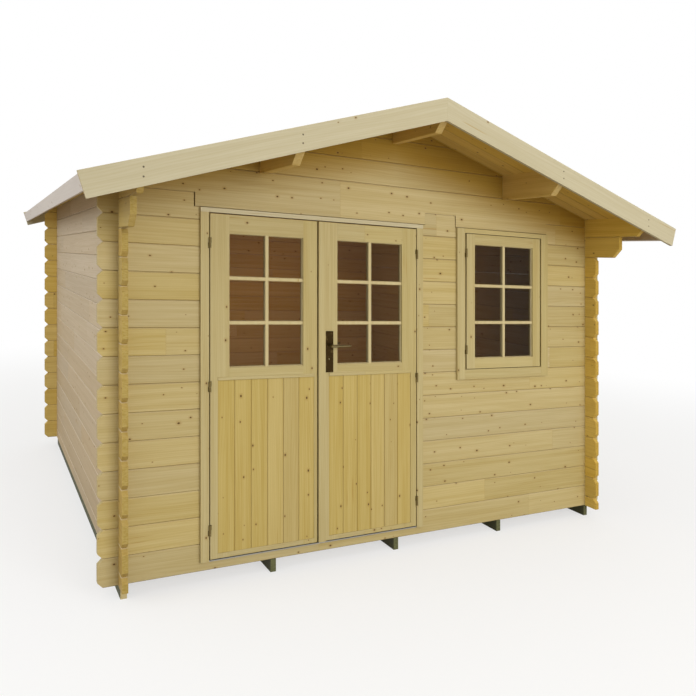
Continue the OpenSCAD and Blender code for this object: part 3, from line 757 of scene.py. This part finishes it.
def floor_boards():
    """Floor boards across the bearers, with eased top edges."""
    low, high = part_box("floor")
    width, rows = board_rows(low, high, FLOOR_BOARD_W)
    top = high.z - FLOOR_V
    bm = bmesh.new()
    for y0, y1 in rows:
        foot = [(y0, low.z), (y1, low.z)]
        end = foot + [(y1, top), (y1 - FLOOR_V, high.z), (y0 + FLOOR_V, high.z), (y0, top)]
        loft(bm, [[(x, y, z) for y, z in end] for x in (low.x, high.x)])
    # The floor boards take the roof wood with its painted shade
    made = piece("floor_boards", bm, wood("floor_wood", SHADED_ROOF, "x", "y", width, low.y), "shed")
    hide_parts("floor")


# How far a pane reaches into its frame's groove, and the heights of cross bars as shares of the open pane
GROOVE_REACH = 0.0077
DOOR_BARS = (1 / 3, 2 / 3)
WINDOW_BARS = (0.314, 0.638)
BAR_W = 0.0195
BAR_CHAMFER = 0.0028
FRONT_BAR = 0.013
BACK_BAR = 0.011
BEAD_W = 0.005
BEAD_T = 0.009
# Cross bars and level beads are this much thinner, so that no two faces lie in one plane
LAP = 0.0004


def bar_section(face, way, reach):
    """Outline of a bar on a pane's face: places from the bar's middle line, and in Y."""
    half = BAR_W / 2
    narrow = half - BAR_CHAMFER
    edge = face + way * (reach - BAR_CHAMFER)
    top = face + way * reach
    return [(-half, face), (-half, edge), (-narrow, top), (narrow, top), (half, edge), (half, face)]


def bead_section(face, way, reach):
    """Outline of a bead on a pane's face: places inwards from the frame, and in Y."""
    slant = face + way * reach / 2
    top = face + way * reach
    return [(0, face), (0, top), (BEAD_W / 2, top), (BEAD_W, slant), (BEAD_W, face)]


def glazing_bars(name, pane, shares, body):
    """Beads round a pane, one upright bar and two cross bars, on each face of the pane."""
    low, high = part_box(pane)
    x0, x1 = low.x + GROOVE_REACH, high.x - GROOVE_REACH
    z0, z1 = low.z + GROOVE_REACH, high.z - GROOVE_REACH
    middle = (x0 + x1) / 2
    bm = bmesh.new()
    for face, way, reach in ((low.y, -1, FRONT_BAR), (high.y, 1, BACK_BAR)):
        upright = bar_section(face, way, reach)
        loft(bm, [[(middle + t, y, z) for t, y in upright] for z in (z0, z1)])
        cross = bar_section(face, way, reach - LAP)
        for share in shares:
            height = z0 + (z1 - z0) * share
            loft(bm, [[(x, y, height + t) for t, y in cross] for x in (x0, x1)])
        plumb = bead_section(face, way, BEAD_T)
        for edge, inward in ((x0, 1), (x1, -1)):
            loft(bm, [[(edge + inward * t, y, z) for t, y in plumb] for z in (z0, z1)])
        level = bead_section(face, way, BEAD_T - LAP)
        for edge, inward in ((z0, 1), (z1, -1)):
            loft(bm, [[(x, y, edge + inward * t) for t, y in level] for x in (x0, x1)])
    piece(name, bm, bar_wood, body)


STRIP_H = 0.017
STRIP_T = 0.004
STRIP_EASE = 0.0025


def panel_strip(leaf):
    """A moulded strip along the top of a leaf's boarded panel."""
    low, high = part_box(leaf + "_panel")
    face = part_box(leaf + "_frame")[0].y
    z0, z1 = high.z, high.z + STRIP_H
    front = face - STRIP_T
    eased = front + STRIP_EASE
    lower = [(face, z0), (eased, z0), (front, z0 + STRIP_EASE)]
    section = lower + [(front, z1 - STRIP_EASE), (eased, z1), (face, z1)]
    bm = bmesh.new()
    loft(bm, [[(x, y, z) for y, z in section] for x in (low.x, high.x)])
    piece(leaf + "_strip", bm, joinery["x"][0], leaf)


SCREW_R = 0.0042
SCREW_PROUD = 0.0001
SCREW_SIDES = 16
# Rings of a screw head from its foot to its recess: share of its radius, and height in parts of SCREW_PROUD
SCREW_PROFILE = ((1.0, -8.0), (1.0, 0.0), (0.9, 1.0), (0.42, 1.0), (0.3, 0.3))


def screw_heads(name, spots, body, material, radius=SCREW_R):
    """Countersunk heads with a driven recess; a spot is a point on a surface and its outward normal."""
    turns = [2 * math.pi * k / SCREW_SIDES for k in range(SCREW_SIDES)]
    bm = bmesh.new()
    for point, normal in spots:
        facing = Vector((0, 0, 1)).rotation_difference(Vector(normal)).to_matrix()
        rings = []
        for share, rise in SCREW_PROFILE:
            spread = radius * share
            ring = [(spread * math.cos(turn), spread * math.sin(turn), rise * SCREW_PROUD) for turn in turns]
            rings.append([Vector(point) + facing @ Vector(local) for local in ring])
        loft(bm, rings)
    piece(name, bm, material, body)


BARGE_SCREW_GAP = 0.039
BARGE_CARRIERS = ("left_wall", "left_purlin", "right_purlin", "right_wall")


def barge_screws():
    """Two screws through a bargeboard into each purlin and eave log that it covers."""
    spots = []
    for end, normal in (("front", (0, -1, 0)), ("rear", (0, 1, 0))):
        for carrier in BARGE_CARRIERS:
            low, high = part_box(carrier)
            x = (low.x + high.x) / 2
            side = "left" if x < 0 else "right"
            board = f"{end}_{side}_bargeboard"
            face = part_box(board)[0 if end == "front" else 1].y
            corners = outline(board)
            level = sum(c[1] + abs(c[0]) * math.tan(PITCH) for c in corners) / len(corners)
            middle = level - abs(x) * math.tan(PITCH)
            spots += [((x, face, middle + s * BARGE_SCREW_GAP / 2), normal) for s in (-1, 1)]
    screw_heads("bargeboard_screws", spots, "shed", steel)


PLATE_SCREW_R = 0.0036
PLATE_SCREW_INSET = 0.014


def plate_screws():
    """A screw near the head and the foot of the outer handle plate."""
    low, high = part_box("handle_plates")
    x = (low.x + high.x) / 2
    heights = (low.z + PLATE_SCREW_INSET, high.z - PLATE_SCREW_INSET)
    spots = [((x, low.y, z), (0, -1, 0)) for z in heights]
    screw_heads("handle_plate_screws", spots, "right_leaf", bronze, PLATE_SCREW_R)


deck_boards("left_roof_deck")
deck_boards("right_roof_deck")
floor_boards()
glazing_bars("left_leaf_bars", "left_leaf_glass", DOOR_BARS, "left_leaf")
glazing_bars("right_leaf_bars", "right_leaf_glass", DOOR_BARS, "right_leaf")
glazing_bars("window_bars", "window_glass", WINDOW_BARS, "shed")
panel_strip("left_leaf")
panel_strip("right_leaf")
barge_screws()
plate_screws()


# Floor, light and camera


def shown(tree):
    """1 for the rays that show a surface: from the camera, mirrors and glass."""
    rays = linked(tree, "LightPath", {}).outputs
    seen = rays["Is Camera Ray"]
    for name in ("Is Glossy Ray", "Is Transmission Ray"):
        seen = linked(tree, "Math", {0: seen, 1: rays[name]}, operation="MAXIMUM").outputs[0]
    return seen


WHITE = colour(1.0, 1.0, 1.0)
FLOOR_REACH = 60.0
FLOOR_NEAR = 3.2
FLOOR_FAR = 8.5
NEAR_WHITE = 0.62
FLOOR_PALE = colour(0.86, 0.86, 0.86)
FLOOR_BOUNCE = colour(0.46, 0.42, 0.35)


def ground():
    """A plain pale floor that keeps a soft shadow of the shed and runs out into white."""
    material = bpy.data.materials.new("pale_floor")
    material.use_nodes = True
    tree = material.node_tree
    tree.nodes.clear()
    seen = shown(tree)
    tone = linked(tree, "Mix", {0: seen, 6: FLOOR_BOUNCE, 7: FLOOR_PALE}, data_type="RGBA").outputs[2]
    lit = linked(tree, "BsdfDiffuse", {"Color": tone}).outputs[0]
    white = linked(tree, "Emission", {"Color": WHITE}).outputs[0]
    place = linked(tree, "TexCoord", {}).outputs["Object"]
    away = linked(tree, "VectorMath", {0: place}, operation="LENGTH").outputs["Value"]
    limits = {"Value": away, "From Min": FLOOR_NEAR, "From Max": FLOOR_FAR, "To Min": NEAR_WHITE}
    share = linked(tree, "MapRange", limits, interpolation_type="SMOOTHSTEP").outputs[0]
    factor = linked(tree, "Math", {0: seen, 1: share}, operation="MULTIPLY").outputs[0]
    mix = linked(tree, "MixShader", {0: factor, 1: lit, 2: white}).outputs[0]
    linked(tree, "OutputMaterial", {"Surface": mix})
    bm = bmesh.new()
    bmesh.ops.create_grid(bm, x_segments=1, y_segments=1, size=FLOOR_REACH)
    made = meshed("pale_floor", bm, material)


SKY = colour(1.0, 0.98, 0.94)
SKY_LOW = 0.36
SKY_HIGH = 1.0


def sky():
    """Soft light from all round, stronger from above, and a white background."""
    world = bpy.data.worlds.new("studio")
    bpy.context.scene.world = world
    world.use_nodes = True
    tree = world.node_tree
    tree.nodes.clear()
    up = linked(tree, "SeparateXYZ", {0: linked(tree, "TexCoord", {}).outputs["Generated"]}).outputs["Z"]
    level = linked(tree, "MapRange", {"Value": up, "To Min": SKY_LOW, "To Max": SKY_HIGH}).outputs[0]
    light = linked(tree, "Background", {"Color": SKY, "Strength": level}).outputs[0]
    white = linked(tree, "Background", {"Color": WHITE}).outputs[0]
    mix = linked(tree, "MixShader", {0: shown(tree), 1: light, 2: white}).outputs[0]
    linked(tree, "OutputWorld", {"Surface": mix})


def lamp(name, place, target, size, power, tint):
    """A round lamp that lights the scene and doesn't show itself."""
    data = bpy.data.lights.new(name, "AREA")
    data.shape = "DISK"
    data.size = size
    data.energy = power
    data.color = tint
    made = placed(name, data)
    made.location = place
    made.rotation_euler = (Vector(target) - Vector(place)).to_track_quat("-Z", "Y").to_euler()
    made.visible_camera = False
    made.visible_glossy = False


CAMERA_PLACE = Vector((-2.0795, -4.6377, 1.6020))
CAMERA_FORWARD = Vector((0.47173, 0.88174, 0.0))
CAMERA_SENSOR = 36.0
CAMERA_LENS = 35.627
CAMERA_SHIFT = -0.1201
# The picture's uprights are plumb while its horizon slopes, as in a picture that was straightened later
HORIZON_SLOPE = 0.0461


def camera():
    """The photograph's view, with its sheared frame as the matrix between the camera and its stand."""
    data = bpy.data.cameras.new("camera")
    data.sensor_width = CAMERA_SENSOR
    data.lens = CAMERA_LENS
    data.shift_y = CAMERA_SHIFT
    stand = placed("camera_stand", None)
    made = placed("camera", data)
    up = Vector((0, 0, 1))
    across = CAMERA_FORWARD.cross(up) + HORIZON_SLOPE * up
    axes = Matrix((across, up, -CAMERA_FORWARD)).transposed()
    made.parent = stand
    made.matrix_parent_inverse = Matrix.Translation(CAMERA_PLACE) @ axes.to_4x4()
    bpy.context.scene.camera = made


ground()
sky()
lamp(
    "key",
    place=(1.4, -9.4, 3.2),
    target=(0.0, -1.3, 1.1),
    size=6.0,
    power=410.0,
    tint=(1.0, 0.98, 0.95),
)
lamp(
    "left_fill",
    place=(-8.0, -1.0, 3.2),
    target=(-1.5, 0.2, 1.8),
    size=5.0,
    power=228.0,
    tint=(0.84, 0.92, 1.0),
)
lamp(
    "room_glow",
    place=(0.0, 0.2, 1.35),
    target=(0.7, 1.33, 1.05),
    size=0.8,
    power=4.8,
    tint=(1.0, 0.61, 0.34),
)
camera()
bpy.context.scene.view_settings.view_transform = "Standard"
